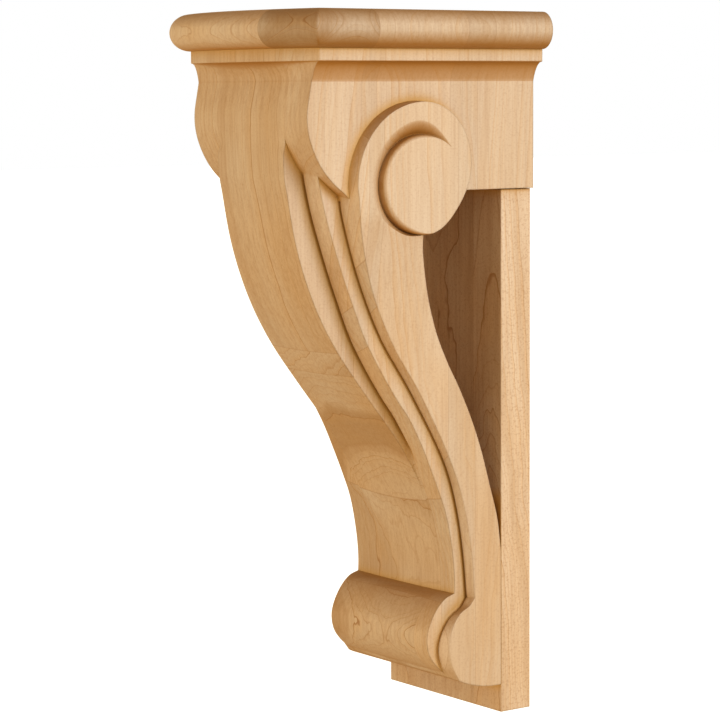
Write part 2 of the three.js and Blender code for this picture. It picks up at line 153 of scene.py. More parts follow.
UNDERSIDE = BODY_LOW[2]
UNDERSIDE_RADIUS = 58 * GROWTH
UNDERSIDE_TANGENT_Y = -22 * GROWTH

# Side faces as [share of the way out to the scroll, z], and the back as [distance from the plate, z].
SCROLL_HALF_WIDTH = 55.6
SIDE_SLOPE = [
    [0, -170], [0, -20], [0.02, 5], [0.1, 24], [0.26, 39], [0.6, 61], [0.93, 78], [1, 85], [1, 88],
]
BODY_BACK = [
    [0, -94.5], [2.5, -76.7], [7.2, -60.1], [13.4, -39.7], [19.6, -24], [27.2, -8.3],
    [34.2, 4], [40.6, 17.1], [44.2, 26.5], [47.8, 37.4], [52, 54.2], [53.6, 63], [54, 76],
]
# The side band is made this much too wide on each side, and then trimmed.
BAND_SPARE = 1
# How far the strips' hidden back stays inside the side band's.
CORE_INSET = 2

# Scroll on both sides and the groove round its eye. Angles are in degrees, from the back, which is 0,
# over the top. The spiral shrinks to the eye within SPIRAL_TURN, and runs on round to SCROLL_CLOSE.
EYE_Y = -73.6 * GROWTH
EYE_Z = 93.3 * GROWTH
EYE_RADIUS = 23.2 * GROWTH
SPIRAL_RADIUS = 40.3 * GROWTH
SPIRAL_TURN = 130
SCROLL_CLOSE = 200
# The rim leans forwards from here on, and under the eye the outline swells out to the groove.
LEAN_START = 60
LEAN_TURN = 90
SWELL_START = -40
SWELL_TURN = 45
GROOVE_RADIUS = 24.4 * GROWTH
GROOVE_WIDTH = 7.6
GROOVE_DEPTH = 5.4
EYE_ROUNDING = 2.4
# The groove opens from its tip over the taper, narrows again from GROOVE_NARROWS onwards, and fades
# out under the eye. Each end is cut off before the groove shrinks to nothing.
GROOVE_TIP = 50
GROOVE_START = 48
GROOVE_TAPER = 55
GROOVE_NARROWS = 200
GROOVE_CLOSING = 60
GROOVE_NARROWING = 0.5
GROOVE_END = 284
GROOVE_FADE = 45
GROOVE_BLUNTED = 6
# How quickly the groove's far side steepens towards the eye.
GROOVE_STEEPENING = 1.5
# How far the cutter reaches past the face that it cuts, and how much wider it is there.
CUTTER_REACH = 3
CUTTER_FLARE = 0.5

# How finely the curves are stepped.
CURVE_STEPS = 40
LOOKUP_STEPS = 400
CAP_ARC_STEPS = 64
CAP_CORNER_STEPS = 6
NOSE_STEPS = 32
COVE_STEPS = 12
BLOCK_STEPS = 60
S_STEPS = 170
STRIP_STEPS = 8
SECOND_STEPS = 3
BAND_WALL_STEPS = 6
ROLL_STEPS = 44
UNDERSIDE_STEPS = 16
BACK_STEPS = 60
SLOPE_STEPS = 90
GROOVE_STEPS = 8
ROUNDING_STEP = 15
ANGLE_STEP = 2.5


def smooth(t):
    """Eases a share of the way from 0 to 1."""
    u = min(1.0, max(0.0, t))
    return u * u * (3 - 2 * u)


def curve(points, steps):
    """Evenly spaced points on a smooth curve through [y, z] pairs."""
    p = np.array(points, dtype=float)
    p = np.vstack([2 * p[0] - p[1], p, 2 * p[-1] - p[-2]])
    dense = []
    for p0, p1, p2, p3 in zip(p, p[1:], p[2:], p[3:]):
        d0, d1, d2 = (math.sqrt(np.linalg.norm(b - a)) for a, b in ((p0, p1), (p1, p2), (p2, p3)))
        t1 = ((p1 - p0) / d0 - (p2 - p0) / (d0 + d1) + (p2 - p1) / d1) * d1
        t2 = ((p2 - p1) / d1 - (p3 - p1) / (d1 + d2) + (p3 - p2) / d2) * d1
        t = np.linspace(0, 1, CURVE_STEPS, endpoint=False)[:, None]
        dense.append(p1 + t1 * t + (3 * (p2 - p1) - 2 * t1 - t2) * t**2 + (2 * (p1 - p2) + t1 + t2) * t**3)
    dense = np.vstack(dense + [p[-2:-1]])
    along = np.concatenate([[0], np.cumsum(np.linalg.norm(np.diff(dense, axis=0), axis=1))])
    even = np.linspace(0, along[-1], steps + 1)
    return np.column_stack([np.interp(even, along, dense[:, k]) for k in (0, 1)]) * GROWTH


def height_lookup(points):
    """First coordinate of a curve at a given height."""
    line = curve(points, LOOKUP_STEPS)
    line = line[np.argsort(line[:, 1])]
    return lambda z: float(np.interp(z, line[:, 1], line[:, 0]))


def reflected(loops):
    """The same loops on the other side, in reverse order."""
    return [[(-x, y, z) for x, y, z in loop] for loop in loops[::-1]]


def mirrored(loops):
    """Loops across both sides, where the first one lies in the middle."""
    return reflected(loops[1:]) + loops


def loft(name, loops):
    """Closed skin over loops of equal length, with flat ends."""
    count = len(loops[0])
    points = [tuple(value * MM for value in point) for loop in loops for point in loop]
    faces = [list(range(count)), list(range(count * (len(loops) - 1), count * len(loops)))]
    for k in range(len(loops) - 1):
        for i in range(count):
            a, b = k * count + i, k * count + (i + 1) % count
            faces.append((a, b, b + count, a + count))
    mesh = bpy.data.meshes.new(name)
    mesh.from_pydata(points, [], faces)
    shape = bmesh.new()
    shape.from_mesh(mesh)
    bmesh.ops.recalc_face_normals(shape, faces=shape.faces)
    shape.to_mesh(mesh)
    shape.free()
    piece = bpy.data.objects.new(name, mesh)
    bpy.context.scene.collection.objects.link(piece)
    return piece


def slab(name, outline, half_width, edge=0.0):
    """A solid with the [y, z] outline between -half_width and half_width, its edges eased by edge."""
    centre = np.mean(outline, axis=0)
    outline = np.array(outline)
    turn = np.roll(outline, -1, 0) - np.roll(outline, 1, 0)
    spokes = outline - centre
    area = sum(a[0] * b[1] - b[0] * a[1] for a, b in zip(spokes, np.roll(spokes, -1, 0)))
    inward = np.column_stack([-turn[:, 1], turn[:, 0]]) * np.sign(area)
    inward /= np.linalg.norm(inward, axis=1)[:, None] + 1e-9
    stations = [(half_width, 0.0)]
    if edge:
        stations = [(half_width - edge * (1 - math.sin(math.radians(a))),
                     edge * (1 - math.cos(math.radians(a)))) for a in EASING_ANGLES]
    side = [[(x, y, z) for y, z in outline + inward * inset] for x, inset in stations]
    return loft(name, reflected(side) + side)


def combine(target, other, operation):
    """Adds or cuts a second solid and removes it."""
    modifier = target.modifiers.new("combine", "BOOLEAN")
    modifier.operation = operation
    modifier.solver = "MANIFOLD"
    modifier.object = other
    result = bpy.data.meshes.new_from_object(target.evaluated_get(bpy.context.evaluated_depsgraph_get()))
    target.modifiers.clear()
    target.data = result
    bpy.data.objects.remove(other)


def cap_plan(side_margin, front_margin):
    """Plan of the cap, grown outwards, with a bowed front edge and slightly rounded corners."""
    bow_radius = (FILLET_HALF_WIDTH**2 + CAP_BOW**2) / (2 * CAP_BOW)
    centre_y = FILLET_CORNER_Y - CAP_BOW + bow_radius
    half = FILLET_HALF_WIDTH + side_margin

    def front(x):
        return centre_y - math.sqrt((bow_radius + front_margin) ** 2 - x * x)

    corner = np.array((half, front(half)))
    side_point = np.array((half, front(half) + CAP_CORNER))
    front_point = np.array((half - CAP_CORNER, front(half - CAP_CORNER)))
    right = [(half, 0.0)]
    for t in np.linspace(0, 1, CAP_CORNER_STEPS + 1):
        right.append(tuple((1 - t) ** 2 * side_point + 2 * t * (1 - t) * corner + t * t * front_point))
    across = [(x, front(x)) for x in np.linspace(half - CAP_CORNER, CAP_CORNER - half, CAP_ARC_STEPS + 1)]
    return right + across[1:-1] + [(-x, y) for x, y in right[::-1]]


def cap():
    """Half-round nose, square fillet with an eased lower edge, and the cove down to the block."""
    rings = []
    radius = NOSE_HEIGHT / 2
    for i in range(NOSE_STEPS + 1):
        angle = math.pi / 2 - math.pi * i / NOSE_STEPS
        plan = cap_plan(NOSE_SIDE_REACH * math.cos(angle), NOSE_FRONT_REACH * math.cos(angle))
        rings.append([(x, y, TOP - radius + radius * math.sin(angle)) for x, y in plan])
    fillet_bottom = TOP - NOSE_HEIGHT - FILLET_HEIGHT
    for angle in EASING_ANGLES:
        turn = math.radians(angle)
        plan = cap_plan(-EDGE * (1 - math.cos(turn)), -EDGE * (1 - math.cos(turn)))
        rings.append([(x, y, fillet_bottom + EDGE * (1 - math.sin(turn))) for x, y in plan])
    outer = cap_plan(-EDGE, -EDGE)
    front = height_lookup(BLOCK_FRONT)(fillet_bottom - COVE_HEIGHT) + COVE_TUCK
    inner = []
    for x, y in outer:
        if abs(x) > FILLET_HALF_WIDTH - CORNER_ZONE:
            inner.append((math.copysign(BLOCK_HALF_WIDTH, x), y if y == 0 else front))
        else:
            inner.append((x * BLOCK_HALF_WIDTH / FILLET_HALF_WIDTH, front))
    # The cove runs smoothly into the front of the block, and ends in a crease at its sides.
    sweeps = []
    for x, y in outer:
        from_side = smooth((FILLET_HALF_WIDTH - abs(x)) / COVE_HEIGHT)
        sweeps.append(COVE_SIDE_SWEEP + (90 - COVE_SIDE_SWEEP) * from_side)
    for i in range(1, COVE_STEPS + 1):
        ring = []
        for (x, y), (u, v), sweep in zip(outer, inner, sweeps):
            end = math.radians(sweep)
            turn = math.radians(sweep * i / COVE_STEPS)
            inward = math.sin(turn) / math.sin(end)
            down = (1 - math.cos(turn)) / (1 - math.cos(end))
            ring.append((x + (u - x) * inward, y + (v - y) * inward, fillet_bottom - COVE_HEIGHT * down))
        rings.append(ring)
    return loft("cap", rings)


def block():
    """Block under the cap, with a swelling front."""
    front = curve(BLOCK_FRONT, BLOCK_STEPS).tolist()
    inside = front[-1][0] + SPIRAL_RADIUS / 4
    outline = front + [[inside, BLOCK_UNDERSIDE], [0, BLOCK_UNDERSIDE], [0, front[0][1]]]
    return slab("block", outline, BLOCK_HALF_WIDTH)


def side_outline(front, foot, inset):
    """Closed side outline: front line, foot, and the back of the curved body up into the scroll."""
    back = [[PLATE_FRONT - gap - inset, z] for gap, z in curve(BODY_BACK, BACK_STEPS)]
    return front + foot + back + [[EYE_Y - inset, front[0][1] - inset]]


def underside(from_y):
    """Underside arc from a starting y to where it runs level."""
    start = math.asin((UNDERSIDE_TANGENT_Y - from_y) / UNDERSIDE_RADIUS)
    angles = [start * (1 - i / UNDERSIDE_STEPS) for i in range(1, UNDERSIDE_STEPS + 1)]
    return [[UNDERSIDE_TANGENT_Y - UNDERSIDE_RADIUS * math.sin(a),
             UNDERSIDE + UNDERSIDE_RADIUS * (1 - math.cos(a))] for a in angles]


def hollow(t):
    """A quarter round from 0 to 1, upright at first and level at the end."""
    return math.sqrt(1 - (1 - t) ** 2)


def core():
    """Middle strip, second strip, the groove between them and the roll they end in."""
    middle = height_lookup(MIDDLE_FRONT)
    second = height_lookup(SECOND_FRONT)
    bulge = height_lookup(BLOCK_FRONT)
    top = MIDDLE_FRONT[0][1] * GROWTH
    crease = ROLL[0][1] * GROWTH
    roll = curve(ROLL, ROLL_STEPS)[1:]
    foot = [[PLATE_FRONT - CORE_INSET, roll[-1][1]]]
    inner_x = MIDDLE_HALF_WIDTH + FIRST_GROOVE_SPAN
    valley_x = MIDDLE_HALF_WIDTH + FIRST_GROOVE_SPAN * VALLEY_SHARE

    def fade(z):
        return smooth((z - FIRST_GROOVE_END) / FIRST_GROOVE_FADE)

    def crown(z, x):
        return CROWN * smooth(1 - z / CROWN_TOP) * (1 - (x / SECOND_HALF_WIDTH) ** 2)

    def merged(z, x):
        slope = SECOND_SLOPE * fade(z) * (SECOND_HALF_WIDTH - x) / (SECOND_HALF_WIDTH - inner_x)
        return second(z) - crown(z, x) - slope

    def held_back(z, x):
        beside_edge = smooth(1 - (MIDDLE_HALF_WIDTH - x) / EMERGE_WIDTH)
        return max(0.0, bulge(z) - middle(z)) * beside_edge * smooth((z - EMERGE_LOW) / EMERGE_HEIGHT)

    def front_at(z, x):
        edge = min(middle(z) + held_back(z, MIDDLE_HALF_WIDTH), second(z) - crown(z, MIDDLE_HALF_WIDTH))
        if x <= MIDDLE_HALF_WIDTH:
            strip = middle(z) - crown(z, x) + crown(z, MIDDLE_HALF_WIDTH) + held_back(z, x)
            return min(strip, second(z) - crown(z, x))
        if x < inner_x:
            bottom = merged(z, valley_x) + FIRST_GROOVE_DEPTH * fade(z)
            return edge + (bottom - edge) * hollow((x - MIDDLE_HALF_WIDTH) / (valley_x - MIDDLE_HALF_WIDTH))
        return merged(z, x)

    wall = MIDDLE_HALF_WIDTH + (valley_x - MIDDLE_HALF_WIDTH) * np.linspace(0, 1, STRIP_STEPS + 1)[1:] ** 2
    stations = [
        *np.linspace(0, MIDDLE_HALF_WIDTH, STRIP_STEPS + 1),
        *wall,
        *np.linspace(inner_x, SECOND_HALF_WIDTH, SECOND_STEPS + 1),
    ]
    loops = []
    for x in stations:
        front = [[front_at(z, x), z] for z in np.linspace(top, crease, S_STEPS + 1)]
        roll_crown = crown(crease, x)
        front += [[y - roll_crown * (1 - (i + 1) / ROLL_STEPS), z] for i, (y, z) in enumerate(roll)]
        loops.append([(x, y, z) for y, z in side_outline(front, foot, CORE_INSET)])
    return loft("core", mirrored(loops))


def side_face(share):
    """Half width of the side face for a share of the way from the plate out to the scroll."""
    return PLATE_HALF_WIDTH + (SCROLL_HALF_WIDTH - PLATE_HALF_WIDTH) * share


def band():
    """Side band across the whole width, lying behind the strips in the middle."""
    inner_front = height_lookup(BAND_INNER_FRONT)
    outer_front = height_lookup(BAND_OUTER_FRONT)
    top = BAND_INNER_FRONT[0][1] * GROWTH
    crease = BAND_INNER_SCROLL[0][1] * GROWTH
    side_at = height_lookup(SIDE_SLOPE)
    inner = curve(BAND_INNER_SCROLL, ROLL_STEPS)[1:]
    outer = curve(BAND_OUTER_SCROLL, ROLL_STEPS)[1:]
    valley_x = SECOND_HALF_WIDTH + SECOND_GROOVE_SPAN * VALLEY_SHARE

    def loop_at(x, deeper):
        front = []
        for z in np.linspace(top, crease, S_STEPS + 1):
            y0, y1 = inner_front(z), outer_front(z)
            reach = (max(x, BAND_INNER_X) - BAND_INNER_X) / (side_face(side_at(z) / GROWTH) - BAND_INNER_X)
            front.append([y0 + (y1 - y0) * reach + deeper, z])
        share = max(0.0, (x - BAND_INNER_X) / (PLATE_HALF_WIDTH - BAND_INNER_X))
        for i, ((y0, z0), (y1, z1)) in enumerate(zip(inner, outer)):
            front.append([y0 + (y1 - y0) * share + deeper * (1 - (i + 1) / ROLL_STEPS),
                          z0 + (z1 - z0) * min(1.0, share)])
        foot = underside(front[-1][0]) + [[PLATE_FRONT, UNDERSIDE]]
        return [(x, y, z) for y, z in side_outline(front, foot, 0)]

    # The groove's wall starts inside the second strip, so that no edge of it shows.
    wall = []
    for t in np.linspace(0, 1, BAND_WALL_STEPS + 1) ** 2:
        x = SECOND_HALF_WIDTH + (valley_x - SECOND_HALF_WIDTH) * t
        wall.append(loop_at(x, SECOND_GROOVE_DEPTH * (2 * hollow(t) - 1)))
    return loft("band", mirrored([
        loop_at(0, 0),
        *wall,
        loop_at(BAND_INNER_X, 0),
        loop_at(PLATE_HALF_WIDTH, 0),
        loop_at(SCROLL_HALF_WIDTH + BAND_SPARE, 0),
    ]))


def side_cutter(sign):
    """Everything outside the sloping side face."""
    far = SCROLL_HALF_WIDTH * 1.5
    slope = [(side_face(share / GROWTH), z) for share, z in curve(SIDE_SLOPE, SLOPE_STEPS)]
    outline = slope + [(SCROLL_HALF_WIDTH, TOP), (far, TOP), (far, slope[0][1])]
    return loft("side_cutter", [[(sign * x, y, z) for x, z in outline] for y in (-2 * TOP, 2 * TOP)])


def scroll():
    """Raised scroll seen from the side: round the top, in along the spiral, and round the eye."""
    low = BAND_INNER_FRONT[0][1] * GROWTH - CORE_INSET
    # The rim leans forwards on its way in to the block, as much as the front of the band does.
    rim_lean = (BAND_OUTER_FRONT[0][0] - BAND_INNER_FRONT[0][0]) * GROWTH

    def loop_at(x, lean, front):
        outline = []
        for angle in np.arange(180, SCROLL_CLOSE - 360 - 1, -ANGLE_STEP):
            turned = smooth((90 - angle) / SPIRAL_TURN)
            leaning = lean * smooth((angle - LEAN_START) / LEAN_TURN)
            filled_out = (GROOVE_RADIUS - EYE_RADIUS) * smooth((SWELL_START - angle) / SWELL_TURN)
            radius = SPIRAL_RADIUS + leaning + (EYE_RADIUS - SPIRAL_RADIUS) * turned + filled_out
            turn = math.radians(angle)
            outline.append([EYE_Y + radius * math.cos(turn), EYE_Z + radius * math.sin(turn)])
        outline.append([height_lookup(front)(low), low])
        return [(x, y, z) for y, z in outline]

    side = [
        loop_at(BAND_INNER_X, rim_lean, BAND_INNER_FRONT),
        loop_at(SCROLL_HALF_WIDTH, 0, BAND_OUTER_FRONT),
    ]
    return loft("scroll", reflected(side) + side)


def groove_section(size, narrow):
    """Section of the groove as (distance from the eye's centre, x), from its bottom outwards."""
    spread = GROOVE_WIDTH * size * (1 - GROOVE_NARROWING * narrow)
    depth = GROOVE_DEPTH * size
    rounding = EYE_ROUNDING * size
    section = []
    for t in np.linspace(0, 1, GROOVE_STEPS + 1):
        section.append((GROOVE_RADIUS + spread * t,
                        SCROLL_HALF_WIDTH - depth * (1 - t) ** GROOVE_STEEPENING))
    outside = SCROLL_HALF_WIDTH + CUTTER_REACH
    section.append((GROOVE_RADIUS + spread + CUTTER_FLARE, outside))
    section.append((GROOVE_RADIUS - rounding - CUTTER_FLARE, outside))
    for angle in range(0, 90, ROUNDING_STEP):
        turn = math.radians(angle)
        section.append((GROOVE_RADIUS - rounding * (1 - math.sin(turn)),
                        SCROLL_HALF_WIDTH - rounding * (1 - math.cos(turn))))
    return section


def groove_cutter(sign):
    """Tapering groove round the eye: steep next to the eye, running out softly on the far side."""
    loops = []
    for angle in np.arange(GROOVE_START, GROOVE_END + 0.1, ANGLE_STEP):
        size = smooth((angle - GROOVE_TIP + GROOVE_BLUNTED) / GROOVE_TAPER)
        size *= smooth((GROOVE_END + GROOVE_BLUNTED - angle) / GROOVE_FADE)
        narrow = smooth((angle - GROOVE_NARROWS) / GROOVE_CLOSING)
        turn = math.radians(angle)
        loops.append([(sign * x, EYE_Y + radius * math.cos(turn), EYE_Z + radius * math.sin(turn))
                      for radius, x in groove_section(size, narrow)])
    return loft("groove_cutter", loops)


# Points closer than WELD are joined, and edges sharper than SHARP_ANGLE degrees stay crisp.
WELD = 0.02
SHARP_ANGLE = 34


def finish_surface(piece):
    """Joins doubled points and shades the piece smoothly, except over its sharp edges."""
    weld = piece.modifiers.new("weld", "WELD")
    weld.merge_threshold = WELD * MM
    result = bpy.data.meshes.new_from_object(piece.evaluated_get(bpy.context.evaluated_depsgraph_get()))
    piece.modifiers.clear()
    piece.data = result
    result.polygons.foreach_set("use_smooth", [True] * len(result.polygons))
    result.set_sharp_from_angle(angle=math.radians(SHARP_ANGLE))
    normals = piece.modifiers.new("normals", "WEIGHTED_NORMAL")
    normals.keep_sharp = True


def carved_body():
    """The whole carved block as one solid: cap, block, strips, side bands, scrolls and roll."""
    piece = band()
    for sign in (-1, 1):
        combine(piece, side_cutter(sign), "DIFFERENCE")
    for part in (core(), block(), scroll(), cap()):
        combine(piece, part, "UNION")
    for sign in (-1, 1):
        combine(piece, groove_cutter(sign), "DIFFERENCE")
    piece.name = "carved_body"
    finish_surface(piece)
    return piece


def plate_board():
    """Back plate, with its two side faces eased at their edges."""
    top = PLATE_HIGH[2]
    outline = [[0, -TOP], [0, top], [-PLATE_THICKNESS, top], [-PLATE_THICKNESS, -TOP]]
    piece = slab("plate_board", outline, PLATE_HALF_WIDTH, EDGE)
    finish_surface(piece)
    return piece


class Nodes:
    """Short calls for building a material's nodes."""

    def __init__(self, name):
        self.material = bpy.data.materials.new(name)
        self.material.use_nodes = True
        self.tree = self.material.node_tree
        self.shader = self.tree.nodes["Principled BSDF"]

    def put(self, socket, value):
        if isinstance(value, bpy.types.NodeSocket):
            self.tree.links.new(value, socket)
        else:
            socket.default_value = value

    def add(self, kind, inputs=None, **settings):
        node = self.tree.nodes.new("ShaderNode" + kind)
        for key, value in settings.items():
            setattr(node, key, value)
        for key, value in (inputs or {}).items():
            self.put(node.inputs[key], value)
        return node

    def math(self, operation, *values):
        node = self.add("Math", operation=operation)
        for k, value in enumerate(values):
            self.put(node.inputs[k], value)
        return node.outputs[0]

    def times(self, first, *others):
        """The product of two or more values."""
        for other in others:
            first = self.math("MULTIPLY", first, other)
        return first

    def swing(self, value, width):
        """A value from 0 to 1 turned into one of the given width, spread evenly about zero."""
        return self.math("MULTIPLY_ADD", value, width, -width / 2)

    def scaled(self, vector, factors):
        return self.add("VectorMath", {0: vector, 1: factors}, operation="MULTIPLY").outputs[0]

    def noise(self, vector, factors, detail=2.0, roughness=0.5):
        node = self.add("TexNoise", {"Vector": self.scaled(vector, factors), "Scale": 1.0,
                                     "Detail": detail, "Roughness": roughness})
        return node.outputs[0]

    def span(self, value, low, high, out_low=0.0, out_high=1.0, smoothly=False):
        """Follows a value from low to high with an answer from out_low to out_high."""
        node = self.add("MapRange", {0: value, 1: low, 2: high, 3: out_low, 4: out_high})
        node.interpolation_type = "SMOOTHSTEP" if smoothly else "LINEAR"
        return node.outputs[0]

    def along(self, value):
        """Noise that changes along one number."""
        inputs = {"W": value, "Scale": 1.0, "Detail": 1.0}
        return self.add("TexNoise", inputs, noise_dimensions="1D").outputs[0]

    def ramp(self, value, stops):
        """A colour that jumps from stop to stop."""
        node = self.add("ValToRGB", {0: value})
        line = node.color_ramp
        line.interpolation = "CONSTANT"
        for k, (place, colour) in enumerate(stops):
            stop = line.elements[k] if k < 2 else line.elements.new(place)
            stop.position = place
            stop.color = (*colour, 1.0)
        return node.outputs[0]

    def mix(self, amount, a, b):
        node = self.add("Mix", data_type="RGBA")
        for k, value in ((0, amount), (6, a), (7, b)):
            self.put(node.inputs[k], value)
        return node.outputs[2]


# A stave of the glued-up wood: where its growth rings are centred, how far the grain leans from
# upright, how light it is, how much broad dark figure it has, how wide a year's growth is and how
# strong its dark lines are.
Stave = namedtuple("Stave", "heart_x heart_y lean tone figure ring line")


def dimmed(staves, share):
    return [stave._replace(tone=stave.tone * share) for stave in staves]


# Staves of the body from front to back: first those in the middle and at the left, then those at the
# right, then both again in the cap's nose, where most are a little darker.
MIDDLE_STAVES = (
    Stave(-230, -105, 0.00, 0.99, 0.10, 5.5, 0.80),
    Stave(-30, -230, -0.03, 1.00, 0.34, 2.6, 0.90),
    Stave(10, 40, 0.03, 0.98, 0.55, 2.8, 0.95),
    Stave(30, -190, 0.02, 0.98, 0.40, 2.6, 0.90),
    Stave(-6, 90, -0.02, 0.97, 0.35, 3.0, 0.80),
)
RIGHT_STAVES = (
    Stave(66, -80, 0.16, 1.02, 0.22, 3.0, 0.45),
    Stave(220, -190, 0.02, 0.98, 0.08, 3.6, 0.30),
    Stave(240, 30, -0.02, 1.01, 0.08, 3.0, 0.30),
    Stave(260, -130, 0.015, 0.97, 0.08, 3.2, 0.30),
    Stave(90, 80, 0.08, 0.99, 0.08, 3.4, 0.35),
)
NOSE_MIDDLE_STAVES = (Stave(-14, -66, 0.0, 1.03, 0.25, 2.0, 0.85), *dimmed(MIDDLE_STAVES[1:], 0.96))
NOSE_RIGHT_STAVES = (Stave(44, -120, 0.4, 0.84, 0.55, 1.7, 0.95), *dimmed(RIGHT_STAVES[1:], 0.92))
BODY_STAVES = MIDDLE_STAVES + RIGHT_STAVES + NOSE_MIDDLE_STAVES + NOSE_RIGHT_STAVES
PLATE_STAVES = (
    Stave(-60, 90, 0.02, 1.00, 0.10, 2.6, 0.5),
    Stave(-8, -120, -0.02, 1.00, 0.20, 2.8, 0.9),
    Stave(38, -44, 0.10, 1.07, 0.30, 2.4, 1.0),
)
# Glue lines in mm along y, x and z.
NOSE_UNDERSIDE = TOP - NOSE_HEIGHT
BODY_JOINTS = ((-107.0, -98.0, -53.0, -36.0), (30.4,), (NOSE_UNDERSIDE,))
PLATE_JOINTS = ((), (-31.0, 24.8), ())
SEAM_HALF_WIDTH = 0.13
# Hearts lie within half of HEART_REACH and no year is wider than WIDEST_RING, so that a colour ramp
# can hold both as shares from 0 to 1.
HEART_REACH = 600.0
WIDEST_RING = 10.0
# Each stave comes from this much farther along the tree than the last one.
STAVE_SHIFT = 431.0


def number_staves(n, spot, joints):
    """The number of the stave at each spot plus a half, and 1 on the glue lines between staves.

    Staves are counted along y, then for each step along x, and then for each step up.
    """
    x, y, z = spot
    number = 0.5
    seam = 0.0
    step = 1
    for across, places in zip((y, x, z), joints):
        for place in places:
            number = n.math("MULTIPLY_ADD", n.math("GREATER_THAN", across, place), step, number)
            seam = n.math("ADD", seam, n.math("COMPARE", across, place, SEAM_HALF_WIDTH))
        step *= len(places) + 1
    return number, seam


def stave_values(n, number, staves):
    """A Stave of sockets, with the values of the stave that is at each spot."""
    share = n.math("DIVIDE", number, len(staves))

    def stepped(values):
        stops = [(k / len(staves), value) for k, value in enumerate(values)]
        return n.add("SeparateColor", {0: n.ramp(share, stops)}).outputs

    # A colour can't be negative, so a half is added before the ramp and taken away after it.
    heart_x, heart_y, lean = stepped(
        [(s.heart_x / HEART_REACH + 0.5, s.heart_y / HEART_REACH + 0.5, s.lean + 0.5) for s in staves])
    tone, figure, ring = stepped([(s.tone, s.figure, s.ring / WIDEST_RING) for s in staves])
    line = stepped([(s.line, 0.0, 0.0) for s in staves])[0]
    return Stave(
        heart_x=n.swing(heart_x, HEART_REACH),
        heart_y=n.swing(heart_y, HEART_REACH),
        lean=n.math("SUBTRACT", lean, 0.5),
        tone=tone,
        figure=figure,
        ring=n.times(ring, WIDEST_RING),
        line=line,
    )


# The grain bends and ripples by so many mm, calmly above CALM_Z and fully below RESTLESS_Z.
BEND = 18.0
RIPPLE = 5.0
CALM_Z = 70.0
RESTLESS_Z = -30.0
CALM_SHARE = 0.35
# The rings crowd and spread by this many rings, at this pace per ring.
YEAR_WANDER = 2.2
YEAR_WANDER_PACE = 0.37
# The broad figure changes at this pace per mm, and starts elsewhere in each stave.
FIGURE_PACE = 0.055
FIGURE_STEP = 3.7

Growth = namedtuple("Growth", "late thin strength broad")


def growth_rings(n, spot, place, stave, number):
    """Growth at each spot: late wood, each year's thin dark line, its strength, and broad figure."""
    x, y, z = spot
    unrest = n.span(z, CALM_Z, RESTLESS_Z, CALM_SHARE, 1.0, smoothly=True)
    bend = n.swing(n.noise(place, (0.016, 0.016, 0.010), 1.0), BEND)
    ripple = n.swing(n.noise(place, (0.085, 0.085, 0.040), 2.0), RIPPLE)
    dx = n.math("SUBTRACT", x, stave.heart_x)
    dy = n.math("SUBTRACT", y, stave.heart_y)
    radius = n.math("SQRT", n.math("ADD", n.times(dx, dx), n.times(dy, dy)))
    radius = n.math("MULTIPLY_ADD", n.math("ADD", bend, ripple), unrest, radius)
    radius = n.math("MULTIPLY_ADD", z, stave.lean, radius)
    rings = n.math("DIVIDE", radius, stave.ring)
    rings = n.math("MULTIPLY_ADD", n.along(n.times(rings, YEAR_WANDER_PACE)), YEAR_WANDER, rings)
    phase = n.math("FRACT", rings)
    # Each year darkens slowly and ends in a thin line, strong in a few years and faint in most.
    late = n.span(phase, 0.30, 0.95, smoothly=True)
    rise = n.span(phase, 0.86, 0.975, smoothly=True)
    fall = n.span(phase, 0.98, 1.0, 1.0, 0.0)
    year = n.add("TexWhiteNoise", {"W": n.math("FLOOR", rings)}, noise_dimensions="1D").outputs[0]
    strength = n.span(n.math("POWER", year, 2.0), 0.0, 1.0, 0.18, 1.0)
    drift = n.math("MULTIPLY_ADD", radius, FIGURE_PACE, n.times(number, FIGURE_STEP))
    broad = n.span(n.along(drift), 0.44, 0.60, smoothly=True)
    return Growth(late, n.times(rise, fall), strength, broad)


# Maple colours: pale grain, warmer grain, dark lines (also painted shade on faces turned to the front or
# back), broad figure, faces turned down (cut grain and painted shade), golden painted shade in hollows, and
# brown painted shade in deep hollows and on faces turned up.
PALE = (0.770, 0.662, 0.540, 1)
WARM = (0.735, 0.515, 0.290, 1)
LINE = (0.400, 0.200, 0.068, 1)
FIGURE = (0.460, 0.275, 0.110, 1)
DEEP = (0.470, 0.215, 0.022, 1)
GOLD = (0.670, 0.410, 0.085, 1)
BROWN = (0.300, 0.140, 0.030, 1)
# How much each of them tints the wood at most.
WARM_SHARE = 0.60
LATE_SHARE = 0.45
STREAK_SHARE = 0.26
FIBRE_SHARE = 0.20
SEAM_SHARE = 0.28
GOLD_SHADE_SHARE = 0.80
BROWN_SHADE_SHARE = 0.45
UPWARD_SHADE_SHARE = 0.72
FRONT_SHADE_SHARE = 0.15
BODY_SPECKLE = 0.13
PLATE_SPECKLE = 0.27
# How much of the grain's contrast the side faces keep below and in the cap's nose. Of the warm tone they
# keep all below WARM_Z, and above PALE_Z they lose the share given last: painted light, the side faces
# painted paler higher up, where the key light and its sheen fall.
SIDE_GRAIN = 0.65
NOSE_SIDE_GRAIN = 0.9
WARM_Z = -20.0
PALE_Z = 60.0
SIDE_LIGHT_PALING = -0.7
# Painted shade in hollows reaches this many mm, and the groove round the eye keeps only part of it.
HOLLOW_SHADE_REACH = 6.5
EYE_SHADE_KEPT = 0.55
# Distances from the middle of the eye between which that part grows to the whole.
EYE_SHADE_THIN = EYE_RADIUS + 10
EYE_SHADE_FULL = EYE_RADIUS + 13


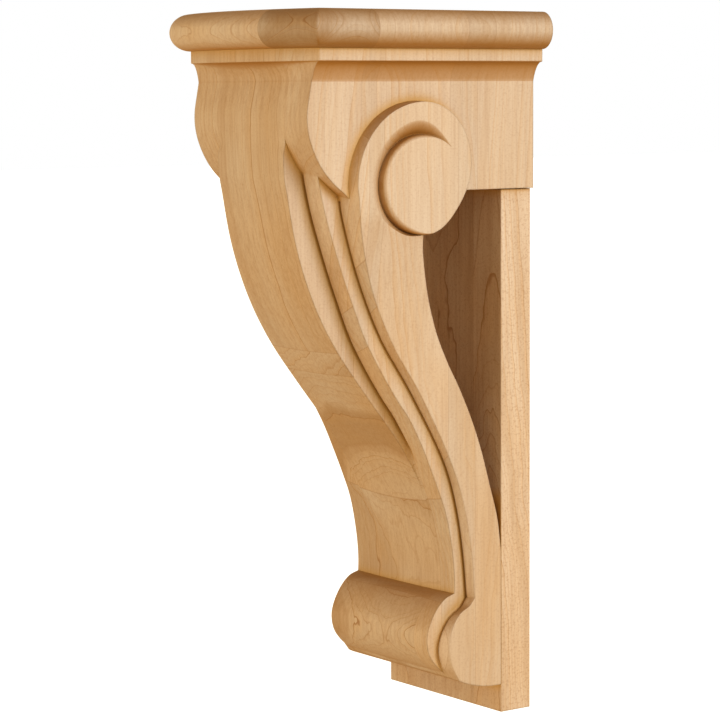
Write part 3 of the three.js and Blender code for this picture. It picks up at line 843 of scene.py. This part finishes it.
def grain_colour(n, spot, place, stave, growth, facing, speckle):
    """Colour of the sound wood, before dust and cut ends of the grain."""
    streak = n.noise(place, (0.60, 0.60, 0.018), 3.0, 0.6)
    fibre = n.noise(place, (2.6, 2.6, 0.07), 3.0, 0.65)
    cloud = n.noise(place, (0.022, 0.022, 0.012), 2.0)
    # Rays show as small flecks, longest from front to back.
    fleck = n.noise(place, (1.15, 0.7, 1.0), 2.5, 0.6)

    # The wide figure and the strongest lines show on the faces turned to the front.
    z = spot[2]
    sideways = n.span(n.math("ABSOLUTE", facing[0]), 0.45, 0.95)
    lost = n.span(z, NOSE_UNDERSIDE - 1, NOSE_UNDERSIDE, 1 - SIDE_GRAIN, 1 - NOSE_SIDE_GRAIN)
    frontal = n.math("SUBTRACT", 1.0, n.times(sideways, lost))
    # Painted light: side faces lose warm tone towards the top, painted paler where the key light and its
    # sheen fall.
    warmth = n.math("MULTIPLY_ADD", n.times(sideways, n.span(z, WARM_Z, PALE_Z)), SIDE_LIGHT_PALING, 1.0)

    colour = n.mix(n.times(n.span(cloud, 0.3, 0.72, 0.0, WARM_SHARE), warmth), PALE, WARM)
    colour = n.mix(n.times(growth.broad, stave.figure, frontal), colour, FIGURE)
    colour = n.mix(n.times(growth.late, growth.strength, LATE_SHARE), colour, WARM)
    colour = n.mix(n.times(growth.thin, frontal, growth.strength, stave.line), colour, LINE)
    colour = n.mix(n.times(n.span(streak, 0.42, 0.72, 0.0, STREAK_SHARE), frontal), colour, LINE)
    colour = n.mix(n.times(n.span(fibre, 0.48, 0.72, 0.0, FIBRE_SHARE), frontal), colour, LINE)
    colour = n.mix(n.span(fleck, 0.50, 0.66, 0.0, speckle), colour, LINE)
    return colour, streak, fibre


def with_painted_hollow_shade(n, spot, colour):
    """Painted shade in the hollows, found from how open each spot is: golden where it is partly shut in,
    then brown where it is deeply shut in.
    """
    open_share = n.add("AmbientOcclusion", {"Distance": HOLLOW_SHADE_REACH * MM}, samples=12).outputs["AO"]
    golden = n.span(open_share, 0.95, 0.55, 0.0, GOLD_SHADE_SHARE)
    brown = n.span(open_share, 0.55, 0.28, 0.0, BROWN_SHADE_SHARE)
    # The wide groove round the eye gets less of this painted shade.
    beside = n.add("CombineXYZ", {0: spot[1], 1: spot[2]}).outputs[0]
    eye = {0: beside, 1: (EYE_Y, EYE_Z, 0)}
    from_eye = n.add("VectorMath", eye, operation="DISTANCE").outputs["Value"]
    shade_kept = n.span(from_eye, EYE_SHADE_THIN, EYE_SHADE_FULL, EYE_SHADE_KEPT, 1.0)
    colour = n.mix(n.times(golden, shade_kept), colour, GOLD)
    return n.mix(n.times(brown, shade_kept), colour, BROWN)


def with_cut_grain_and_shade(n, spot, facing, colour):
    """Faces turned down are painted darker and redder, partly for their cut grain and partly as painted
    shade from above, most of all in the cap's cove, as painted shade under the fillet. Faces turned up, and
    to the front or back, get painted shade too.
    """
    frontwards = n.math("ABSOLUTE", facing[1])
    # Faces turned down: partly cut grain, partly painted shade.
    downwards = n.span(facing[2], -0.08, -0.75)
    under = n.times(downwards, n.span(frontwards, 0.3, 0.8, 0.85, 0.22))
    colour = n.mix(under, colour, DEEP)
    # The cove's extra darkening, strongest at its sides, is painted shade under the fillet.
    cove_middle = NOSE_UNDERSIDE - FILLET_HEIGHT - COVE_HEIGHT / 2
    in_cove = n.math("COMPARE", spot[2], cove_middle, COVE_HEIGHT / 2)
    colour = n.mix(n.times(in_cove, n.span(frontwards, 0.3, 0.8, 0.42, 0.10)), colour, DEEP)
    # Faces turned up get painted shade, in brown.
    colour = n.mix(n.span(facing[2], 0.20, 0.90, 0.0, UPWARD_SHADE_SHARE), colour, BROWN)
    # Faces turned to the front or back get painted shade, in the colour of the dark lines.
    return n.mix(n.span(frontwards, 0.3, 1.0, 0.0, FRONT_SHADE_SHARE), colour, LINE)


def maple(name, joints, staves, speckle):
    """Maple glued up from staves, as a solid grain that every carved face cuts through.

    speckle is how much the rays show.
    """
    n = Nodes(name)
    place = n.scaled(n.add("TexCoord").outputs["Object"], (1 / MM,) * 3)
    spot = n.add("SeparateXYZ", {0: place}).outputs
    facing = n.add("SeparateXYZ", {0: n.add("NewGeometry").outputs["Normal"]}).outputs

    number, seam = number_staves(n, spot, joints)
    stave = stave_values(n, number, staves)
    shift = n.add("CombineXYZ", {2: n.times(n.math("FLOOR", number), STAVE_SHIFT)}).outputs[0]
    place = n.add("VectorMath", {0: place, 1: shift}).outputs[0]
    growth = growth_rings(n, spot, place, stave, number)

    colour, streak, fibre = grain_colour(n, spot, place, stave, growth, facing, speckle)
    colour = n.mix(n.times(seam, SEAM_SHARE), colour, LINE)
    colour = with_painted_hollow_shade(n, spot, colour)
    colour = with_cut_grain_and_shade(n, spot, facing, colour)
    shade = n.add("HueSaturation", {"Color": colour, "Value": stave.tone})
    n.put(n.shader.inputs["Base Color"], shade.outputs[0])

    # Fibres stand a little proud, and the dark lines and glue lines lie a little low.
    rough = n.span(fibre, 0.2, 0.8, 0.46, 0.60)
    n.put(n.shader.inputs["Roughness"], n.math("MULTIPLY_ADD", growth.thin, -0.08, rough))
    n.shader.inputs["Specular IOR Level"].default_value = 0.40
    relief = n.math("ADD", n.times(fibre, 0.6), n.times(streak, 0.5))
    relief = n.math("MULTIPLY_ADD", growth.thin, -0.25, relief)
    relief = n.math("MULTIPLY_ADD", seam, -0.6, relief)
    eased = n.add("Bevel", {"Radius": SHEEN_EDGE * MM}, samples=6).outputs[0]
    bump = n.add("Bump", {"Height": relief, "Strength": 0.30, "Distance": 0.08 * MM, "Normal": eased})
    n.put(n.shader.inputs["Normal"], bump.outputs[0])
    return n.material


# Studio. The floor lies this far below the object in metres, and glows by itself.
CONTRAST_GAMMA = 0.8
FLOOR_SIZE = 60
FLOOR_DROP = 0.7
FLOOR_COLOUR = (0.5, 0.5, 0.495, 1)
FLOOR_GLOW = 1.0
# The floor's darker patches keep this share of its colour.
PATCH_SHADE = 0.985
AMBIENT = 0.70
AMBIENT_COLOUR = (1.0, 0.79, 0.50, 1)
BACKDROP_COLOUR = (1, 1, 1, 1)
LIGHT_SIZE = 1.2
# Each light is (name, place in metres, power, colour), and points at the object.
LIGHTS = (
    ("key", (1.75, 0.12, 0.60), 17.6, (0.945, 1.0, 1.10)),
    ("top", (0.5, 0.1, 2.0), 0.8, (1.0, 0.97, 0.93)),
    ("front", (-0.80, -2.0, -0.40), 14.8, (1.0, 0.96, 0.80)),
)

# Camera: where it stands in metres, how it is turned in degrees, and its lens in mm.
CAMERA_PLACE = (1.06132, -0.84737, 0.13796)
CAMERA_AZIMUTH = 53.88
CAMERA_PITCH = 5.86
CAMERA_ROLL = -0.34
SENSOR_WIDTH = 36
LENS = 130.12


def floor_paint():
    """A plain pale paint with a faint unevenness."""
    n = Nodes("floor_paint")
    patch = n.noise(n.add("TexCoord").outputs["Object"], (3.0, 3.0, 3.0), 3.0)
    darker = tuple(c * PATCH_SHADE for c in FLOOR_COLOUR[:3]) + (1,)
    n.put(n.shader.inputs["Base Color"], n.mix(n.span(patch, 0.3, 0.7), FLOOR_COLOUR, darker))
    n.shader.inputs["Roughness"].default_value = 0.9
    n.shader.inputs["Specular IOR Level"].default_value = 0.1
    n.shader.inputs["Emission Color"].default_value = (1, 1, 1, 1)
    n.shader.inputs["Emission Strength"].default_value = FLOOR_GLOW
    return n.material


def lay_floor():
    """A floor too low to shade or tint the object, which the camera sees as pale."""
    bpy.ops.mesh.primitive_plane_add(size=FLOOR_SIZE, location=(0, 0, -TOP * MM - FLOOR_DROP))
    floor = bpy.context.object
    floor.name = "floor"
    floor.data.materials.append(floor_paint())
    floor.visible_diffuse = False
    floor.visible_glossy = False
    floor.visible_shadow = False


def room():
    """White where the camera sees it, and a dim warm light on the object."""
    world = bpy.data.worlds.new("room")
    bpy.context.scene.world = world
    world.use_nodes = True
    tree = world.node_tree
    dim = tree.nodes["Background"]
    dim.inputs["Strength"].default_value = AMBIENT
    dim.inputs["Color"].default_value = AMBIENT_COLOUR
    backdrop = tree.nodes.new("ShaderNodeBackground")
    backdrop.inputs["Color"].default_value = BACKDROP_COLOUR
    seen = tree.nodes.new("ShaderNodeLightPath")
    either = tree.nodes.new("ShaderNodeMixShader")
    tree.links.new(seen.outputs["Is Camera Ray"], either.inputs[0])
    tree.links.new(dim.outputs[0], either.inputs[1])
    tree.links.new(backdrop.outputs[0], either.inputs[2])
    tree.links.new(either.outputs[0], tree.nodes["World Output"].inputs[0])


def lights():
    """Soft square lights, most of the light from the right."""
    for name, place, power, colour in LIGHTS:
        light = bpy.data.lights.new(name, "AREA")
        light.size = LIGHT_SIZE
        light.energy = power
        light.color = colour
        lamp = bpy.data.objects.new(name, light)
        lamp.location = place
        lamp.rotation_euler = Vector(place).to_track_quat("Z", "Y").to_euler()
        bpy.context.scene.collection.objects.link(lamp)


def camera():
    """The photograph's viewpoint: seen from the front right, a little above the middle."""
    azimuth = Matrix.Rotation(math.radians(CAMERA_AZIMUTH), 4, "Z")
    pitch = Matrix.Rotation(math.radians(90 - CAMERA_PITCH), 4, "X")
    roll = Matrix.Rotation(math.radians(CAMERA_ROLL), 4, "Z")
    data = bpy.data.cameras.new("camera")
    data.sensor_width = SENSOR_WIDTH
    data.lens = LENS
    lens = bpy.data.objects.new("camera", data)
    lens.matrix_world = Matrix.Translation(CAMERA_PLACE) @ azimuth @ pitch @ roll
    bpy.context.scene.collection.objects.link(lens)
    bpy.context.scene.camera = lens


def dress(piece, material):
    piece.data.materials.clear()
    piece.data.materials.append(material)


def main():
    camera()
    lay_floor()
    room()
    lights()
    bpy.context.scene.view_settings.view_transform = "Standard"
    bpy.context.scene.view_settings.gamma = CONTRAST_GAMMA

    body = carved_body()
    dress(body, maple("carved_maple", BODY_JOINTS, BODY_STAVES, BODY_SPECKLE))
    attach(body, "root")
    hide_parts("corbel_body")

    plate = plate_board()
    dress(plate, maple("plate_maple", PLATE_JOINTS, PLATE_STAVES, PLATE_SPECKLE))
    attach(plate, "root")
    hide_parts("back_plate")


main()
